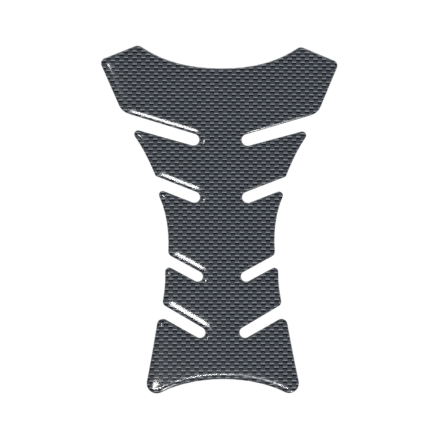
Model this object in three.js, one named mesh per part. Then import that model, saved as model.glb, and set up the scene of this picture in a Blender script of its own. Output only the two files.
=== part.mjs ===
// Motorcycle tank pad: a spine-shaped sticker with a horned head and four pairs of slots.
// A printed film carries a clear resin dome that was poured on it up to the film's edge.
// Millimetres, +Z up. The pad lies on its adhesive face, the horned head towards +Y.
// The origin is under the middle of its outline, on the surface that it lies on.
import * as THREE from 'three';

// Laminate
const FILM_THICKNESS = 0.3;
const RESIN_HEIGHT = 2.0;
const RIM_WIDTH = 6; // from the pad's edge to where the resin is level
const RIM_CLIMB = 2.0; // how far in from the edge the rim climbs two thirds of its height
const RIM_RINGS = 5;
const TIP_SHARE = 0.75; // how far towards the middle of a narrow tip its rim may reach

// Levels are heights above the lowest point of the outline as drawn, x is half a width.
// Top and bottom edge: level at the centreline, slope in degrees where the edge ends,
// and how far it stays straight at the centreline and at that end
const TOP_EDGE = { level: 196.3, slope: 34, flat: 22.8, run: 12.8 };
const BOTTOM_EDGE = { level: 8.4, slope: 28, flat: 14.4, run: 9 };

// Corners, as the points where the edges would meet, with their rounding
const HORN = { x: 49.1, level: 210.5, radius: 4.1 };
const SHOULDER = { x: 72.6, level: 200.6, radius: 3.4 };
const FOOT = { x: 47.1, level: -5.1, radius: 5.9 };

// Slots from the head down. The inner end is round: reach is its centre's distance from the
// centreline. tilt and spread are in degrees. above and below are the half-widths of the fins
// at the slot's mouth, and bow is how far the side of the fin below the slot curves inwards.
const SLOTS = [
  { reach: 16.3, level: 152.2, width: 7.2, tilt: 16.3, spread: 1.3,
    above: { x: 59.1, radius: 9.6 }, below: { x: 55.1, radius: 2.4 }, bow: 0.9 },
  { reach: 16.0, level: 117.1, width: 6.8, tilt: 21.6, spread: 0,
    above: { x: 39.0, radius: 1.8 }, below: { x: 39.1, radius: 2.3 }, bow: 2.4 },
  { reach: 14.4, level: 69.3, width: 6.2, tilt: 28.6, spread: 0.4,
    above: { x: 31.8, radius: 3.4 }, below: { x: 33.7, radius: 2.4 }, bow: 0.6 },
  { reach: 13.3, level: 35.9, width: 6.4, tilt: 30, spread: 1.2,
    above: { x: 35.4, radius: 3.2 }, below: { x: 37.7, radius: 3.5 }, bow: 0.2 },
];

// Fineness of the outline
const ARC_STEP = THREE.MathUtils.degToRad(15);
const EDGE_STEP = 6;

const FILM_COLOUR = 0x474b50;
const RESIN_COLOUR = 0xf4f6f7;

const QUARTER = Math.PI / 2;

function direction(angle) {
  return new THREE.Vector2(Math.cos(angle), Math.sin(angle));
}

function arc(centre, radius, from, turn) {
  const steps = Math.max(2, Math.ceil(Math.abs(turn) / ARC_STEP));
  return Array.from({ length: steps + 1 }, (_, k) =>
    direction(from + (turn * k) / steps).multiplyScalar(radius).add(centre));
}

// Rounds a corner between an edge that arrives and an edge that leaves, both given by angle
function roundedCorner({ at, radius, arrive, leave }) {
  const turn = Math.atan2(Math.sin(leave - arrive), Math.cos(leave - arrive));
  const side = Math.sign(turn) * QUARTER;
  const tangent = radius * Math.tan(Math.abs(turn) / 2);
  const centre = at.clone()
    .addScaledVector(direction(arrive), -tangent)
    .addScaledVector(direction(arrive + side), radius);
  return arc(centre, radius, arrive - side, turn);
}

// The points between the two ends of an edge. The reaches are its straight share at each end.
function edgePoints(start, leave, end, arrive, reachOut, reachIn) {
  const chord = start.distanceTo(end);
  const curve = new THREE.CubicBezierCurve(
    start,
    start.clone().addScaledVector(direction(leave), reachOut ?? chord / 3),
    end.clone().addScaledVector(direction(arrive), -(reachIn ?? chord / 3)),
    end,
  );
  return curve.getPoints(Math.max(1, Math.ceil(chord / EDGE_STEP))).slice(1, -1);
}

// A slot's two straight edges, its round inner end and its two mouth corners
function slotLines({ reach, level, width, tilt, spread, above, below }) {
  const end = new THREE.Vector2(reach, level);
  const upper = THREE.MathUtils.degToRad(tilt + spread / 2);
  const lower = THREE.MathUtils.degToRad(tilt - spread / 2);
  const mouth = (angle, side, x) => {
    const foot = end.clone().addScaledVector(direction(angle + side), width / 2);
    return foot.addScaledVector(direction(angle), (x - foot.x) / Math.cos(angle));
  };
  return {
    innerEnd: arc(end, width / 2, upper + QUARTER, Math.PI - (upper - lower)),
    into: { at: mouth(upper, QUARTER, above.x), radius: above.radius, leave: upper + Math.PI },
    outOf: { at: mouth(lower, -QUARTER, below.x), radius: below.radius, arrive: lower },
  };
}

// Sets the angles at both ends of the side between two corners, bowed inwards by bow
function joinSide(from, to, bow) {
  const chord = to.at.clone().sub(from.at);
  const lean = Math.atan2(4 * bow, chord.length());
  from.leave = chord.angle() - lean;
  to.arrive = chord.angle() + lean;
}

function cornerAt({ x, level, radius }) {
  return { at: new THREE.Vector2(x, level), radius };
}

// The right half of the outline, from the top edge's middle down to the bottom edge's middle
function rightHalf() {
  const slots = SLOTS.map(slotLines);
  const [horn, shoulder, foot] = [HORN, SHOULDER, FOOT].map(cornerAt);
  horn.arrive = THREE.MathUtils.degToRad(TOP_EDGE.slope);
  foot.leave = Math.PI - THREE.MathUtils.degToRad(BOTTOM_EDGE.slope);
  joinSide(horn, shoulder, 0);
  joinSide(shoulder, slots[0].into, 0);
  slots.forEach(({ outOf }, k) => joinSide(outOf, slots[k + 1]?.into ?? foot, SLOTS[k].bow));

  const top = new THREE.Vector2(0, TOP_EDGE.level);
  const bottom = new THREE.Vector2(0, BOTTOM_EDGE.level);
  const points = [top];
  const follow = (next, leave, arrive, reachOut, reachIn) => {
    const last = points.at(-1);
    points.push(...edgePoints(last, leave, next[0], arrive, reachOut, reachIn), ...next);
  };
  follow(roundedCorner(horn), 0, horn.arrive, TOP_EDGE.flat, TOP_EDGE.run);
  follow(roundedCorner(shoulder), horn.leave, shoulder.arrive);
  let leave = shoulder.leave;
  for (const { into, outOf, innerEnd } of slots) {
    follow(roundedCorner(into), leave, into.arrive);
    follow(innerEnd, into.leave, into.leave);
    follow(roundedCorner(outOf), outOf.arrive, outOf.arrive);
    leave = outOf.leave;
  }
  follow(roundedCorner(foot), leave, foot.arrive);
  follow([bottom], foot.leave, Math.PI, BOTTOM_EDGE.run, BOTTOM_EDGE.flat);
  return points;
}

// The whole outline, counter-clockwise, with the middle of its box at the origin
function padOutline() {
  const right = rightHalf();
  const left = right.slice(1, -1).map((p) => new THREE.Vector2(-p.x, p.y));
  const outline = [...right, ...left.reverse()].reverse();
  const middle = new THREE.Box2().setFromPoints(outline).getCenter(new THREE.Vector2());
  return outline.map((p) => p.clone().sub(middle));
}

// The unit vector from an outline point into the pad, between its two edges
function inwardAt(outline, k) {
  const before = outline.at(k - 1);
  const after = outline[(k + 1) % outline.length];
  const along = outline[k].clone().sub(before).normalize()
    .add(after.clone().sub(outline[k]).normalize()).normalize();
  return new THREE.Vector2(-along.y, along.x);
}

// Points close together all along the outline, against which the rim's room is measured
function wallPoints(outline, step) {
  return outline.flatMap((p, k) => {
    const next = outline[(k + 1) % outline.length];
    const count = Math.ceil(p.distanceTo(next) / step);
    return Array.from({ length: count }, (_, n) => p.clone().lerp(next, n / count));
  });
}

// How far the rim reaches in from an outline point: the full width, or less in a narrow tip,
// where the largest circle that touches the outline at that point is small
function rimReach(point, inward, walls) {
  let room = Infinity;
  for (const wall of walls) {
    const chord = wall.clone().sub(point);
    const depth = chord.dot(inward);
    if (depth > 1e-3 * chord.length()) room = Math.min(room, chord.lengthSq() / (2 * depth));
  }
  return Math.min(RIM_WIDTH, TIP_SHARE * room);
}

// How much of its full height the poured resin has at a distance in from the pad's edge
function climbed(distance) {
  return (1 - Math.exp(-distance / RIM_CLIMB)) / (1 - Math.exp(-RIM_WIDTH / RIM_CLIMB));
}

// The resin: rings that climb the rounded rim from the film's edge to a level top
function resinGeometry(outline) {
  const count = outline.length;
  const walls = wallPoints(outline, RIM_WIDTH / 4);
  const inward = outline.map((_, k) => inwardAt(outline, k));
  const reach = outline.map((p, k) => rimReach(p, inward[k], walls));
  const positions = [];
  for (let ring = 0; ring <= RIM_RINGS; ring += 1) {
    const share = (ring / RIM_RINGS) ** 1.5;
    const height = RESIN_HEIGHT * climbed(share * RIM_WIDTH);
    outline.forEach((p, k) => {
      const { x, y } = p.clone().addScaledVector(inward[k], share * reach[k]);
      positions.push(x, y, FILM_THICKNESS + height);
    });
  }
  const index = [];
  for (let ring = 0; ring < RIM_RINGS; ring += 1) {
    for (let k = 0; k < count; k += 1) {
      const [a, b] = [ring * count + k, ring * count + ((k + 1) % count)];
      index.push(a, b, b + count, a, b + count, a + count);
    }
  }
  const top = RIM_RINGS * count;
  const levelTop = outline.map((_, k) =>
    new THREE.Vector2(positions[3 * (top + k)], positions[3 * (top + k) + 1]));
  for (const [a, b, c] of THREE.ShapeUtils.triangulateShape(levelTop, [])) {
    index.push(top + a, top + b, top + c);
  }
  for (const [a, b, c] of THREE.ShapeUtils.triangulateShape(outline, [])) index.push(a, c, b);
  const geometry = new THREE.BufferGeometry();
  geometry.setAttribute('position', new THREE.Float32BufferAttribute(positions, 3));
  geometry.setIndex(index);
  geometry.computeVertexNormals();
  return geometry;
}

// The film: a thin sheet cut to the outline, its underside coated with adhesive
function printedFilm(outline) {
  const geometry = new THREE.ExtrudeGeometry(new THREE.Shape(outline), {
    depth: FILM_THICKNESS,
    bevelEnabled: false,
  });
  const material = new THREE.MeshStandardMaterial({
    color: FILM_COLOUR,
    roughness: 0.45,
    metalness: 0,
  });
  const film = new THREE.Mesh(geometry, material);
  film.name = 'printed_film';
  return film;
}

function clearDome(outline) {
  const material = new THREE.MeshStandardMaterial({
    color: RESIN_COLOUR,
    roughness: 0.04,
    metalness: 0,
    transparent: true,
    opacity: 0.2,
  });
  const dome = new THREE.Mesh(resinGeometry(outline), material);
  dome.name = 'clear_dome';
  return dome;
}

const outline = padOutline();
const pad = new THREE.Group();
pad.add(printedFilm(outline), clearDome(outline));

export default pad;
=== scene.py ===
"""Looks of a motorcycle tank pad: a carbon-look printed film under a clear, domed resin."""

import logging
import math
from dataclasses import dataclass, field
from enum import Enum
from typing import Any, Iterable, Union

import bmesh
import bpy
import numpy as np
from mathutils import Matrix, Vector, noise
from mathutils.geometry import delaunay_2d_cdt


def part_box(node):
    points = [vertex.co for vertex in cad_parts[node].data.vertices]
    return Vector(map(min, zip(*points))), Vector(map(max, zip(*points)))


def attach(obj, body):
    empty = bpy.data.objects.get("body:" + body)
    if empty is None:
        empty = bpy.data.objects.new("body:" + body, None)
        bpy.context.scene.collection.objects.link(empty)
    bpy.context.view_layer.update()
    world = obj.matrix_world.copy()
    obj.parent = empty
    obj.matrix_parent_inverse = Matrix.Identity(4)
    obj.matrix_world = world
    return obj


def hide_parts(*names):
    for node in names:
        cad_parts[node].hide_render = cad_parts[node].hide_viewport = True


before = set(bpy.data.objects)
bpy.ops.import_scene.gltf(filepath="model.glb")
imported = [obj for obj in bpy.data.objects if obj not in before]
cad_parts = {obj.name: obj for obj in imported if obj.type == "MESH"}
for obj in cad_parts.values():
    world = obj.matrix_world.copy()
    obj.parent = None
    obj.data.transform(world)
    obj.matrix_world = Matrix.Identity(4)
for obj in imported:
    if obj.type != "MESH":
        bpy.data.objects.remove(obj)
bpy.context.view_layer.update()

LOG = logging.getLogger("tank_pad")
MM = 0.001
PHOTO_SIDE = 440  # pixels

# Sockets of a Mix node set to colours, whose names occur more than once on it
MIX_SHARE, MIX_LOW, MIX_HIGH = 0, 6, 7
MIX_RESULT = 2

# Tolerances of the dome's mesh and of the solver for its height
WELD = 0.001 * MM  # points closer together than this are one
FLAT = 0.01 * MM  # points this close to the underside's level belong to it
GRAZING = 1e-3  # a wall point ahead by less than this share of its distance is beside
LEAST_AREA = 1e-14  # square metres, for twice the area of a sliver
SOLVER_STEPS = 800
SOLVER_ACCURACY = 1e-20

Colour = tuple[float, float, float]
Value = Union["Wire", float, int]


class Ray(Enum):
    """The kinds of ray that a material can tell apart."""

    CAMERA = "Is Camera Ray"
    SHADOW = "Is Shadow Ray"
    DIFFUSE = "Is Diffuse Ray"
    GLOSSY = "Is Glossy Ray"
    TRANSMISSION = "Is Transmission Ray"


def linear(red: float, green: float, blue: float) -> Colour:
    """A colour read off a screen, 0 to 255, as linear light by the sRGB curve.

    Args:
        red: The red channel.
        green: The green channel.
        blue: The blue channel.

    Returns:
        The three channels from 0 to 1 in linear light.
    """
    shares = (channel / 255 for channel in (red, green, blue))
    return tuple(s / 12.92 if s <= 0.04045 else ((s + 0.055) / 1.055) ** 2.4 for s in shares)


@dataclass(frozen=True)
class Wire:
    """A value running through a node tree, on which Python's operators add Math nodes."""

    tree: "NodeTree"
    socket: bpy.types.NodeSocket

    def math(self, operation: str, *others: Value, clamp: bool = False) -> "Wire":
        """This value and others put through a Math node.

        Args:
            operation: The Math node's operation.
            others: The node's further inputs.
            clamp: Whether the result is held between 0 and 1.

        Returns:
            The node's result.
        """
        settings = {"operation": operation, "use_clamp": clamp}
        return self.tree.add("ShaderNodeMath", settings, dict(enumerate((self, *others))))

    def __add__(self, other: Value) -> "Wire":
        """The sum."""
        return self.math("ADD", other)

    def __sub__(self, other: Value) -> "Wire":
        """The difference."""
        return self.math("SUBTRACT", other)

    def __mul__(self, other: Value) -> "Wire":
        """The product."""
        return self.math("MULTIPLY", other)

    def __truediv__(self, other: Value) -> "Wire":
        """The quotient."""
        return self.math("DIVIDE", other)

    def __radd__(self, other: float) -> "Wire":
        """The sum, from the right."""
        return self.math("ADD", other)

    def __rmul__(self, other: float) -> "Wire":
        """The product, from the right."""
        return self.math("MULTIPLY", other)

    def __rsub__(self, other: float) -> "Wire":
        """A number less this value."""
        return self.math("MULTIPLY_ADD", -1.0, other)

    def __abs__(self) -> "Wire":
        """The size without the sign."""
        return self.math("ABSOLUTE")

    def floor(self) -> "Wire":
        """The whole number below."""
        return self.math("FLOOR")

    def fraction(self) -> "Wire":
        """What lies above the whole number below."""
        return self.math("FRACT")

    def step_up(self, start: Value, width: float) -> "Wire":
        """Climbs from 0 at start to 1 at width beyond it.

        Args:
            start: Where the climb begins.
            width: How long it takes.

        Returns:
            The climb, between 0 and 1.
        """
        return (self - start).math("DIVIDE", width, clamp=True)

    def band(self, low: Value, high: Value, soft: float) -> "Wire":
        """1 between low and high, and 0 outside, with soft edges centred on both.

        Args:
            low: The band's lower edge.
            high: The band's upper edge.
            soft: How wide each edge is.

        Returns:
            The band's mask.
        """
        rise = self.step_up(low - soft / 2, soft)
        fall = self.step_up(high - soft / 2, soft)
        return rise * (1 - fall)


@dataclass
class NodeTree:
    """A material's or world's node tree, started empty."""

    nodes: bpy.types.NodeTree

    def __post_init__(self) -> None:
        """Clears the tree."""
        self.nodes.nodes.clear()

    def add(
        self,
        kind: str,
        settings: dict[str, Any] | None = None,
        inputs: dict[str | int, Any] | None = None,
        output: str | int = 0,
    ) -> Wire:
        """Adds a node, with its settings first and then the values or links of its sockets.

        Args:
            kind: The node's type.
            settings: The node's own properties; a ramp's stops go in as "stops".
            inputs: A value or a wire for each named or numbered input.
            output: Which output is wanted.

        Returns:
            The wanted output.
        """
        node = self.nodes.nodes.new(kind)
        for name, value in (settings or {}).items():
            if name == "stops":
                self._set_stops(node.color_ramp, value)
            else:
                setattr(node, name, value)
        for name, value in (inputs or {}).items():
            socket = node.inputs[name]
            if isinstance(value, Wire):
                self.nodes.links.new(value.socket, socket)
            elif isinstance(value, tuple) and socket.type == "RGBA":
                socket.default_value = (*value[:3], 1.0)
            else:
                socket.default_value = value
        return Wire(self, node.outputs[output])

    @staticmethod
    def _set_stops(ramp: bpy.types.ColorRamp, stops: Iterable[tuple[float, Colour]]) -> None:
        """Gives a ramp its stops.

        Args:
            ramp: The ramp.
            stops: The place and the colour of each stop.
        """
        wanted = list(stops)
        while len(ramp.elements) < len(wanted):
            ramp.elements.new(1.0)
        for element, (place, colour) in zip(ramp.elements, wanted):
            element.position = place
            element.color = (*colour, 1.0)

    def mix_colour(self, share: Value, low: Any, high: Any) -> Wire:
        """Two colours mixed.

        Args:
            share: How much of the second colour, 0 to 1.
            low: The first colour.
            high: The second colour.

        Returns:
            The mixed colour.
        """
        settings = {"data_type": "RGBA", "blend_type": "MIX"}
        inputs = {MIX_SHARE: share, MIX_LOW: low, MIX_HIGH: high}
        return self.add("ShaderNodeMix", settings, inputs, output=MIX_RESULT)

    def mix_shader(self, share: Wire, low: Wire, high: Wire) -> Wire:
        """Two shaders mixed, by how much of the second one."""
        return self.add("ShaderNodeMixShader", None, {0: share, 1: low, 2: high})

    def scale_colour(self, colour: Any, factor: Value) -> Wire:
        """A colour made lighter or darker by a factor."""
        return self.add(
            "ShaderNodeVectorMath", {"operation": "SCALE"}, {0: colour, "Scale": factor}
        )

    def ray(self, kind: Ray) -> Wire:
        """1 for rays of one kind, and 0 for others."""
        return self.add("ShaderNodeLightPath", output=kind.value)

    def any_ray(self, first: Ray, *others: Ray) -> Wire:
        """1 for rays of any of these kinds, and 0 for others.

        Args:
            first: The first kind.
            others: The further kinds.

        Returns:
            The mask.
        """
        seen = self.ray(first)
        for kind in others:
            seen = seen.math("MAXIMUM", self.ray(kind))
        return seen

    def place(self, source: str = "Object") -> tuple[Wire, Wire, Wire]:
        """The surface point's x, y and z on the piece, in metres, or another coordinate.

        Args:
            source: Which of the coordinates is wanted.

        Returns:
            Its three components.
        """
        point = self.add("ShaderNodeTexCoord", output=source)
        split = self.add("ShaderNodeSeparateXYZ", None, {0: point})
        return tuple(Wire(self, output) for output in split.socket.node.outputs)

    def finish(self, surface: Wire, kind: str = "ShaderNodeOutputMaterial") -> None:
        """Adds the tree's output node and links the last shader to it."""
        node = self.nodes.nodes.new(kind)
        self.nodes.links.new(surface.socket, node.inputs["Surface"])


def new_material(name: str) -> tuple[bpy.types.Material, NodeTree]:
    """Makes a material that is still empty.

    Args:
        name: What the material is called.

    Returns:
        The material and its tree.
    """
    material = bpy.data.materials.new(name)
    material.use_nodes = True
    return material, NodeTree(material.node_tree)


@dataclass(frozen=True)
class CarbonPrint:
    """The film's finish: a printed weave on top, a cut edge and an adhesive underside.

    The weave is a brick pattern. Every second cell of a row is a tow on top, light above and
    dark beneath, and the cells between them are the tows that pass under. Pitches and lengths
    are real sizes. Phases, centres, widths, edges and bands are shares of a pitch. The dark band
    reaches further down away from a tow's middle, by shaded_sag times the distance squared.
    """

    column_pitch: float = 5.213 * MM
    row_pitch: float = 2.012 * MM
    lean: float = math.radians(0.986)
    column_phase: float = 0.143
    row_phase: float = 1.065
    row_start: float = 0.423
    tow_centre: float = 0.472
    tow_half_width: float = 0.25
    tow_edge: float = 0.06
    lit_band: tuple[float, float] = (0.12, 0.325)
    shaded_band: tuple[float, float] = (0.49, 0.86)
    shaded_sag: float = 4.0
    band_edge: float = 0.05
    drift_length: float = 12 * MM
    drift_rows: float = 2.0
    drift_strength: float = 0.3
    light: Colour = linear(182, 186, 192)
    middle: Colour = linear(79, 83, 88)
    dark: Colour = linear(2, 3, 6)
    adhesive: Colour = linear(196, 194, 186)
    vinyl_edge: Colour = linear(30, 32, 35)
    roughness: float = 0.5
    thickness: float = 0.3 * MM
    cut_edge: tuple[float, float] = (0.05, 0.95)  # shares of the thickness

    def material(self) -> bpy.types.Material:
        """Mixes the weave, the cut edge and the adhesive by height.

        Returns:
            The film's material.
        """
        material, tree = new_material("carbon_print")
        x, y, z = tree.place()
        colour = self._weave(tree, x, y)
        bottom, top = self.cut_edge
        printed = z.math("GREATER_THAN", self.thickness * top)
        under = z.math("LESS_THAN", self.thickness * bottom)
        colour = tree.mix_colour(printed, self.vinyl_edge, colour)
        colour = tree.mix_colour(under, colour, self.adhesive)
        shader = tree.add(
            "ShaderNodeBsdfPrincipled",
            None,
            {"Base Color": colour, "Roughness": self.roughness, "Specular IOR Level": 0.0},
        )
        tree.finish(shader)
        return material

    def _weave(self, tree: NodeTree, x: Wire, y: Wire) -> Wire:
        """Draws the woven pattern.

        Args:
            tree: The material's tree.
            x: The point's x on the film.
            y: The point's y on the film.

        Returns:
            The pattern's colour there.
        """
        across = x * (math.cos(self.lean) / self.column_pitch)
        across = across - y * (math.sin(self.lean) / self.column_pitch) + self.column_phase
        rows = self.row_phase - y / self.row_pitch + (1 - self.row_start)
        row = rows.floor()
        down = rows.fraction()
        shifted = across + row * 0.5
        side = abs((shifted - self.tow_centre + 0.5).fraction() - 0.5)
        tow = 1 - side.step_up(self.tow_half_width - self.tow_edge / 2, self.tow_edge)
        sag = side * side * self.shaded_sag
        shade_top, shade_foot = self.shaded_band
        lit = tow * down.band(*self.lit_band, self.band_edge)
        shaded = tow * down.band(shade_top, shade_foot + sag, self.band_edge)
        colour = tree.mix_colour(lit, self.middle, self.light)
        colour = tree.mix_colour(shaded, colour, self.dark)
        return tree.scale_colour(colour, self._unevenness(tree, x, y))

    def _unevenness(self, tree: NodeTree, x: Wire, y: Wire) -> Wire:
        """Lets the print's brightness drift from row to row and along the tows.

        Args:
            tree: The material's tree.
            x: The point's x on the film.
            y: The point's y on the film.

        Returns:
            The factor on its colour, about 1.
        """
        along = x * (1 / self.drift_length)
        down = y * (1 / (self.drift_rows * self.row_pitch))
        point = tree.add("ShaderNodeCombineXYZ", None, {0: along, 1: down})
        drift = tree.add(
            "ShaderNodeTexNoise", {"noise_dimensions": "2D"}, {"Vector": point, "Scale": 1.0}
        )
        return drift * self.drift_strength + (1 - self.drift_strength / 2)


@dataclass(frozen=True)
class ClearResin:
    """Clear, glossy cast resin that lets lamps reach the print beneath it."""

    tint: Colour = (0.97, 0.98, 1.0)
    roughness: float = 0.17
    refraction: float = 1.5

    def material(self) -> bpy.types.Material:
        """Mixes the resin with a clear way through for shadow rays and diffuse rays.

        Returns:
            The dome's material.
        """
        material, tree = new_material("clear_resin")
        resin = tree.add(
            "ShaderNodeBsdfPrincipled",
            None,
            {
                "Base Color": self.tint,
                "Roughness": self.roughness,
                "IOR": self.refraction,
                "Transmission Weight": 1.0,
                "Coat Weight": 1.0,
                "Coat Roughness": self.roughness,
            },
        )
        open_way = tree.add("ShaderNodeBsdfTransparent", None, {"Color": self.tint})
        for kind in (Ray.DIFFUSE, Ray.SHADOW):
            resin = tree.mix_shader(tree.ray(kind), resin, open_way)
        tree.finish(resin)
        return material


@dataclass
class PrintedFilm:
    """The printed film, which keeps its own solid and takes the print as its finish."""

    finish: CarbonPrint = field(default_factory=CarbonPrint)
    node: str = "printed_film"

    def dress(self) -> bpy.types.Object:
        """Puts the print on the film.

        Returns:
            The film.
        """
        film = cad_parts[self.node]
        film.data.materials.clear()
        film.data.materials.append(self.finish.material())
        return film


@dataclass
class ClearDome:
    """The resin dome, which climbs from the film's edge and levels off inside.

    Poured resin takes the surface on which its tension balances its weight: the rim's height
    closes on the full one by two thirds over each length of climb. Its underside sinks a little
    below the print, which it wets, and its top swells and dips by the ripple.
    """

    finish: ClearResin = field(default_factory=ClearResin)
    node: str = "clear_dome"
    climb: float = 2.0 * MM
    # Millimetres in from the edge
    ring_depths: tuple[float, ...] = (0.1, 0.25, 0.45, 0.7, 1.0, 1.35, 1.8, 2.35, 3.0, 3.8, 4.8)
    tip_share: float = 0.75
    edge_step: float = 1.5 * MM
    middle_step: float = 2.5 * MM
    middle_margin: float = 0.6  # of a step between the last ring and the middle's points
    sink: float = 0.04 * MM
    ripple: float = 0.012 * MM
    ripple_length: float = 22 * MM
    low: Vector = field(init=False)
    high: Vector = field(init=False)

    def build(self) -> bpy.types.Object:
        """Models the dome on the outline of its solid and dresses it.

        Returns:
            The dome.
        """
        self.low, self.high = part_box(self.node)
        mesh = bmesh.new()
        mesh.from_mesh(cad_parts[self.node].data)
        bmesh.ops.remove_doubles(mesh, verts=mesh.verts[:], dist=WELD)
        under = self._underside(mesh)
        outline = [loop.vert for loop in under.loops]
        self._sink(mesh, under)
        cap = self._add_rings(mesh, outline)
        self._fill_middle(mesh, cap)
        self._settle(mesh, set(outline))
        bmesh.ops.recalc_face_normals(mesh, faces=mesh.faces[:])
        piece = self._to_object(mesh, set(outline))
        piece.data.materials.append(self.finish.material())
        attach(piece, "root")
        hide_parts(self.node)
        return piece

    def _underside(self, mesh: bmesh.types.BMesh) -> bmesh.types.BMFace:
        """Leaves only the solid's flat underside, as one face with points close together.

        Args:
            mesh: A copy of the solid's mesh, with its doubles merged.

        Returns:
            The underside.
        """
        raised = [v for v in mesh.verts if v.co.z > self.low.z + FLAT]
        bmesh.ops.delete(mesh, geom=raised, context="VERTS")
        bmesh.ops.dissolve_faces(mesh, faces=mesh.faces[:])
        for edge in mesh.edges[:]:
            cuts = math.ceil(edge.calc_length() / self.edge_step) - 1
            if cuts > 0:
                bmesh.ops.subdivide_edges(mesh, edges=[edge], cuts=cuts)
        mesh.faces.ensure_lookup_table()
        return mesh.faces[0]

    def _sink(self, mesh: bmesh.types.BMesh, under: bmesh.types.BMFace) -> None:
        """Lets the underside wet the film, just below its printed face."""
        bmesh.ops.inset_region(mesh, faces=[under], thickness=self.sink, use_boundary=True)
        bmesh.ops.translate(mesh, verts=under.verts[:], vec=(0, 0, -self.sink))

    def _add_rings(
        self, mesh: bmesh.types.BMesh, outline: list[bmesh.types.BMVert]
    ) -> bmesh.types.BMFace:
        """Grows the dome's rim from the outline, ring by ring, each point moving straight in.

        Args:
            mesh: The dome's mesh, so far only its underside.
            outline: The outline's points in order.

        Returns:
            The face that closes the last ring.
        """
        starts = [vert.co.xy for vert in outline]
        ways = self._inward(starts)
        reach = self._reach(starts, ways)
        ring = outline
        lip = [edge for edge in mesh.edges if edge.is_boundary]
        for depth in self.ring_depths:
            grown = bmesh.ops.extrude_edge_only(mesh, edges=lip)["geom"]
            inner = {item for item in grown if isinstance(item, bmesh.types.BMVert)}
            lip = [e for e in grown if isinstance(e, bmesh.types.BMEdge) and e.is_boundary]
            ring = self._next_ring(ring, inner)
            share = depth / self.ring_depths[-1]
            for vert, start, way, room in zip(ring, starts, ways, reach):
                vert.co.xy = start + way * (room * share)
        return bmesh.ops.edgeloop_fill(mesh, edges=lip)["faces"][0]

    @staticmethod
    def _next_ring(
        ring: list[bmesh.types.BMVert], inner: set[bmesh.types.BMVert]
    ) -> list[bmesh.types.BMVert]:
        """The point of the inner ring that each point of a ring is joined to."""
        return [
            next(e.other_vert(vert) for e in vert.link_edges if e.other_vert(vert) in inner)
            for vert in ring
        ]

    @staticmethod
    def _inward(points: list[Vector]) -> list[Vector]:
        """Finds the way into the pad at each outline point, halfway between its two edges.

        Args:
            points: The outline's points in order.

        Returns:
            The unit vectors that point in.
        """
        following = points[1:] + points[:1]
        area = sum(a.x * b.y - b.x * a.y for a, b in zip(points, following))
        ways = []
        for before, here, after in zip(points[-1:] + points[:-1], points, following):
            along = (here - before).normalized() + (after - here).normalized()
            ways.append(math.copysign(1, area) * Vector((-along.y, along.x)).normalized())
        return ways

    def _reach(self, points: list[Vector], ways: list[Vector]) -> list[float]:
        """How far the rings go in at each outline point.

        It is the full depth, or less in a tip, where the largest circle that touches the
        outline at that point is small.

        Args:
            points: The outline's points.
            ways: The way into the pad at each of them.

        Returns:
            The reach at each point.
        """
        walls = np.array(points)
        full = self.ring_depths[-1] * MM
        reach = []
        for point, way in zip(points, ways):
            chords = walls - np.array(point)
            squares = (chords**2).sum(axis=1)
            depths = chords @ np.array(way)
            ahead = depths > GRAZING * np.sqrt(squares)
            room = (squares[ahead] / (2 * depths[ahead])).min()
            reach.append(min(full, self.tip_share * room))
        return reach

    def _fill_middle(self, mesh: bmesh.types.BMesh, cap: bmesh.types.BMFace) -> None:
        """Fills the last ring with even triangles.

        Args:
            mesh: The dome's mesh.
            cap: The face that closes its last ring, which the triangles replace.
        """
        lip = [loop.vert for loop in cap.loops]
        height = cap.verts[0].co.z
        mesh.faces.remove(cap)
        points = [vert.co.xy for vert in lip]
        points += self._middle_points(np.array(points))
        inside_only = 1
        places, _, triangles, origins, _, _ = delaunay_2d_cdt(
            points, [], [list(range(len(lip)))], inside_only, self.sink / 10
        )
        verts = {}
        for index in {index for triangle in triangles for index in triangle}:
            origin = origins[index][0] if origins[index] else len(lip)
            if origin < len(lip):
                verts[index] = lip[origin]
            else:
                verts[index] = mesh.verts.new((*places[index], height))
        for triangle in triangles:
            mesh.faces.new([verts[index] for index in triangle])

    def _middle_points(self, edge: np.ndarray) -> list[Vector]:
        """Spreads points over the pad's box in a triangular pattern, clear of the last ring.

        Args:
            edge: The last ring's points.

        Returns:
            The points, inside the ring and outside it.
        """
        rows = np.arange(self.low.y, self.high.y, self.middle_step * math.sqrt(0.75))
        columns = np.arange(self.low.x, self.high.x, self.middle_step)
        margin = self.middle_margin * self.middle_step
        spots = (
            (x + (row % 2) * self.middle_step / 2, y)
            for row, y in enumerate(rows)
            for x in columns
        )
        return [
            Vector(spot)
            for spot in spots
            if ((edge - spot) ** 2).sum(axis=1).min() > margin**2
        ]

    def _settle(self, mesh: bmesh.types.BMesh, rim: set[bmesh.types.BMVert]) -> None:
        """Lifts the top to the surface that poured resin takes.

        Args:
            mesh: The dome's mesh, with its top still flat.
            rim: The outline's points, which stay down.
        """
        mesh.verts.index_update()
        places = np.array([vert.co.xy for vert in mesh.verts])
        base = self.low.z - self.sink / 2
        top = {face for face in mesh.faces if all(vert.co.z > base for vert in face.verts)}
        corners = np.array(
            [
                [loop.vert.index for loop in triangle]
                for triangle in mesh.calc_loop_triangles()
                if triangle[0].face in top
            ]
        )
        free = np.zeros(len(places), dtype=bool)
        free[corners.ravel()] = True
        free[[vert.index for vert in rim]] = False
        share = self._balance(places, corners, free)
        height = self.high.z - self.low.z - self.ripple
        for vert in mesh.verts:
            if free[vert.index]:
                swell = noise.noise(vert.co / self.ripple_length) * self.ripple
                vert.co.z = self.low.z + (height + swell) * share[vert.index]

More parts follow.
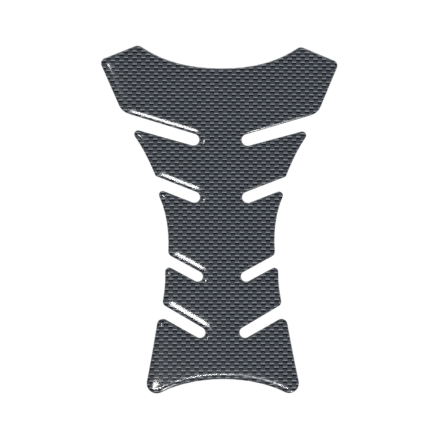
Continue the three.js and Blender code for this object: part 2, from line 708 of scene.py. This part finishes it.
    def _balance(self, places: np.ndarray, corners: np.ndarray, free: np.ndarray) -> np.ndarray:
        """Solves the height over a triangle mesh, as a share of the full one.

        The resin's height h obeys climb² times the Laplacian of h = h - 1, with h = 0 at the rim.

        Args:
            places: The points' x and y.
            corners: The three points of each triangle.
            free: Which points may rise.

        Returns:
            The height of each point.
        """
        count = len(places)
        pairs, weights, areas = [], [], np.zeros(count)
        for turn in range(3):
            here, left, right = (corners[:, (turn + n) % 3] for n in range(3))
            to_left, to_right = places[left] - places[here], places[right] - places[here]
            twice_area = np.abs(to_left[:, 0] * to_right[:, 1] - to_left[:, 1] * to_right[:, 0])
            twice_area = np.maximum(twice_area, LEAST_AREA)
            pairs.append(np.stack((left, right), axis=1))
            weights.append((to_left * to_right).sum(axis=1) / twice_area / 2)
            areas += np.bincount(here, twice_area / 6, count)
        (left, right), weight = np.concatenate(pairs).T, np.concatenate(weights)

        def pull(height: np.ndarray) -> np.ndarray:
            """Adds up the tension and the weight at each free point.

            Args:
                height: The height of each point.

            Returns:
                Their sum at each point, and 0 where the point isn't free.
            """
            flow = weight * (height[left] - height[right])
            tension = np.bincount(left, flow, count) - np.bincount(right, flow, count)
            return np.where(free, self.climb**2 * tension + areas * height, 0.0)

        scale = np.bincount(left, weight, count) + np.bincount(right, weight, count)
        scale = np.where(free, self.climb**2 * scale + areas, 1.0)
        height = np.zeros(count)
        rest = np.where(free, areas, 0.0)
        step = rest / scale
        energy = rest @ step
        for _ in range(SOLVER_STEPS):
            pulled = pull(step)
            gain = energy / (step @ pulled)
            height += gain * step
            rest = rest - gain * pulled
            scaled = rest / scale
            energy, last = rest @ scaled, energy
            if energy < SOLVER_ACCURACY * areas.sum():
                break
            step = scaled + (energy / last) * step
        return height

    @staticmethod
    def _to_object(mesh: bmesh.types.BMesh, rim: set[bmesh.types.BMVert]) -> bpy.types.Object:
        """Makes the mesh an object, smooth but for the line where it meets the film.

        Args:
            mesh: The finished mesh, which is freed.
            rim: The outline's points.

        Returns:
            The dome.
        """
        for face in mesh.faces:
            face.smooth = True
        for edge in mesh.edges:
            edge.smooth = not rim.issuperset(edge.verts)
        data = bpy.data.meshes.new("resin_dome")
        mesh.to_mesh(data)
        mesh.free()
        piece = bpy.data.objects.new("resin_dome", data)
        bpy.context.scene.collection.objects.link(piece)
        return piece


@dataclass(frozen=True)
class Lamp:
    """A soft rectangular lamp that faces the pad.

    Its place, width and height are in metres. Its radiance is how bright its face is, where 1 is
    a white surface in full light. It is turned about its own axis by a number of degrees.
    """

    name: str
    place: tuple[float, float, float]
    size: tuple[float, float]
    radiance: float
    turn: float = 0.0

    def hang(self, lit: list[bpy.types.Object]) -> None:
        """Adds the lamp to the scene.

        Args:
            lit: The pieces that it lights.
        """
        data = bpy.data.lights.new(self.name, "AREA")
        data.shape = "RECTANGLE"
        data.size, data.size_y = self.size
        data.energy = self.radiance * math.pi * self.size[0] * self.size[1]
        lamp = bpy.data.objects.new(self.name, data)
        bpy.context.scene.collection.objects.link(lamp)
        lamp.location = self.place
        facing = Vector(self.place).to_track_quat("Z", "Y").to_matrix()
        turned = facing @ Matrix.Rotation(math.radians(self.turn), 3, "Z")
        lamp.rotation_euler = turned.to_euler()
        receivers = bpy.data.collections.new(f"lit_by_{self.name}")
        for piece in lit:
            receivers.objects.link(piece)
        lamp.light_linking.receiver_collection = receivers


@dataclass
class Studio:
    """A white table, a surround that is white behind it and dim in the gloss, and soft lamps.

    The gloss lamps light only the dome and the fill lamp only the film and the table, so that
    the highlights and the print each have their own strength.
    """

    film: bpy.types.Object
    dome: bpy.types.Object
    floor_half: float = 6.0
    floor_drop: float = 0.02 * MM
    floor_tone: float = 0.3
    floor_glow: float = 0.78
    white: Colour = (1.0, 1.0, 1.0)
    dim_tone: Colour = (0.05, 0.055, 0.06)
    wall_top: float = 0.08
    dim_from: float = 0.25
    gloss_lamps: tuple[Lamp, ...] = (
        Lamp("key", (-0.115, -0.192, 0.415), (0.11, 0.225), radiance=14.5, turn=11.4),
        Lamp("foot_left", (0.05, -0.278, 0.415), (0.016, 0.03), radiance=80.0),
        Lamp("foot_right", (-0.042, -0.29, 0.415), (0.04, 0.04), radiance=75.0),
        Lamp("side", (-0.25, 0.26, 0.63), (0.05, 0.05), radiance=50.0),
        Lamp("low", (0.427, -0.882, 0.499), (0.15, 0.15), radiance=24.0),
    )
    fill_lamp: Lamp = Lamp("fill", (0.1, -0.1, 1.6), (1.0, 1.0), radiance=6.4)

    def build(self) -> None:
        """Sets up the table, the surround and the lamps."""
        floor = self._floor()
        self._surround()
        for lamp in self.gloss_lamps:
            lamp.hang([self.dome])
        self.fill_lamp.hang([self.film, floor])

    def _floor(self) -> bpy.types.Object:
        """Makes the table top, which shows white to the camera and keeps the pad's shadow.

        Returns:
            The table top.
        """
        mesh = bmesh.new()
        bmesh.ops.create_grid(mesh, x_segments=1, y_segments=1, size=self.floor_half)
        bmesh.ops.translate(mesh, verts=mesh.verts[:], vec=(0, 0, -self.floor_drop))
        data = bpy.data.meshes.new("table_top")
        mesh.to_mesh(data)
        mesh.free()
        floor = bpy.data.objects.new("table_top", data)
        bpy.context.scene.collection.objects.link(floor)
        material, tree = new_material("table_top")
        tone = (self.floor_tone,) * 3
        matt = tree.add("ShaderNodeBsdfDiffuse", None, {"Color": tone})
        glow = tree.add(
            "ShaderNodeEmission", None, {"Color": self.white, "Strength": self.floor_glow}
        )
        lit = tree.add("ShaderNodeAddShader", None, {0: matt, 1: glow})
        seen = tree.any_ray(Ray.CAMERA, Ray.GLOSSY, Ray.TRANSMISSION)
        tree.finish(tree.mix_shader(seen, matt, lit))
        material.cycles.emission_sampling = "NONE"
        data.materials.append(material)
        return floor

    def _surround(self) -> None:
        """Makes the world white behind the table and, above its foot, dim in the pad's gloss."""
        world = bpy.data.worlds.new("surround")
        world.use_nodes = True
        bpy.context.scene.world = world
        tree = NodeTree(world.node_tree)
        height = tree.place("Generated")[2]
        stops = [
            (0.0, self.white),
            (self.wall_top, self.white),
            (self.dim_from, self.dim_tone),
        ]
        wall = tree.add("ShaderNodeValToRGB", {"stops": stops}, {0: height})
        dim = tree.add("ShaderNodeBackground", None, {"Color": wall})
        bright = tree.add("ShaderNodeBackground", None, {"Color": self.white})
        seen = tree.any_ray(Ray.CAMERA, Ray.TRANSMISSION)
        tree.finish(tree.mix_shader(seen, dim, bright), "ShaderNodeOutputWorld")


@dataclass
class ProductCamera:
    """The photo's camera: nearly overhead, a little towards the pad's lower left.

    The photo's scale is the size of one of its pixels at the pad, and the sensor is in the
    millimetres that a lens is given in.
    """

    distance: float = 1200 * MM
    pitch: float = math.radians(10.5)
    yaw: float = math.radians(-4.351)
    roll: float = math.radians(-0.583)
    target: tuple[float, float, float] = (-0.81 * MM, -1.76 * MM, 0.3 * MM)
    photo_scale: float = 0.595 * MM
    sensor: float = 36.0
    view_depth: float = 50.0

    def build(self) -> None:
        """Makes the camera and hands it to the scene."""
        data = bpy.data.cameras.new("product_camera")
        data.sensor_width = self.sensor
        data.lens = self.sensor * self.distance / (self.photo_scale * PHOTO_SIDE)
        data.clip_end = self.view_depth
        camera = bpy.data.objects.new("product_camera", data)
        bpy.context.scene.collection.objects.link(camera)
        turn = (
            Matrix.Rotation(self.yaw, 4, "Y")
            @ Matrix.Rotation(self.pitch, 4, "X")
            @ Matrix.Rotation(self.roll, 4, "Z")
        )
        back = turn @ Vector((0, 0, self.distance))
        camera.matrix_world = Matrix.Translation(Vector(self.target) + back) @ turn
        bpy.context.scene.camera = camera


def main() -> None:
    """Builds the pad's looks, the studio and the camera."""
    logging.basicConfig(level=logging.INFO, format="%(message)s")
    film = PrintedFilm().dress()
    LOG.info("dressed %s", film.name)
    dome = ClearDome().build()
    LOG.info("built %s with %d faces", dome.name, len(dome.data.polygons))
    Studio(film, dome).build()
    ProductCamera().build()
    bpy.context.scene.view_settings.view_transform = "Standard"
    bpy.context.view_layer.update()


if __name__ == "__main__":
    main()
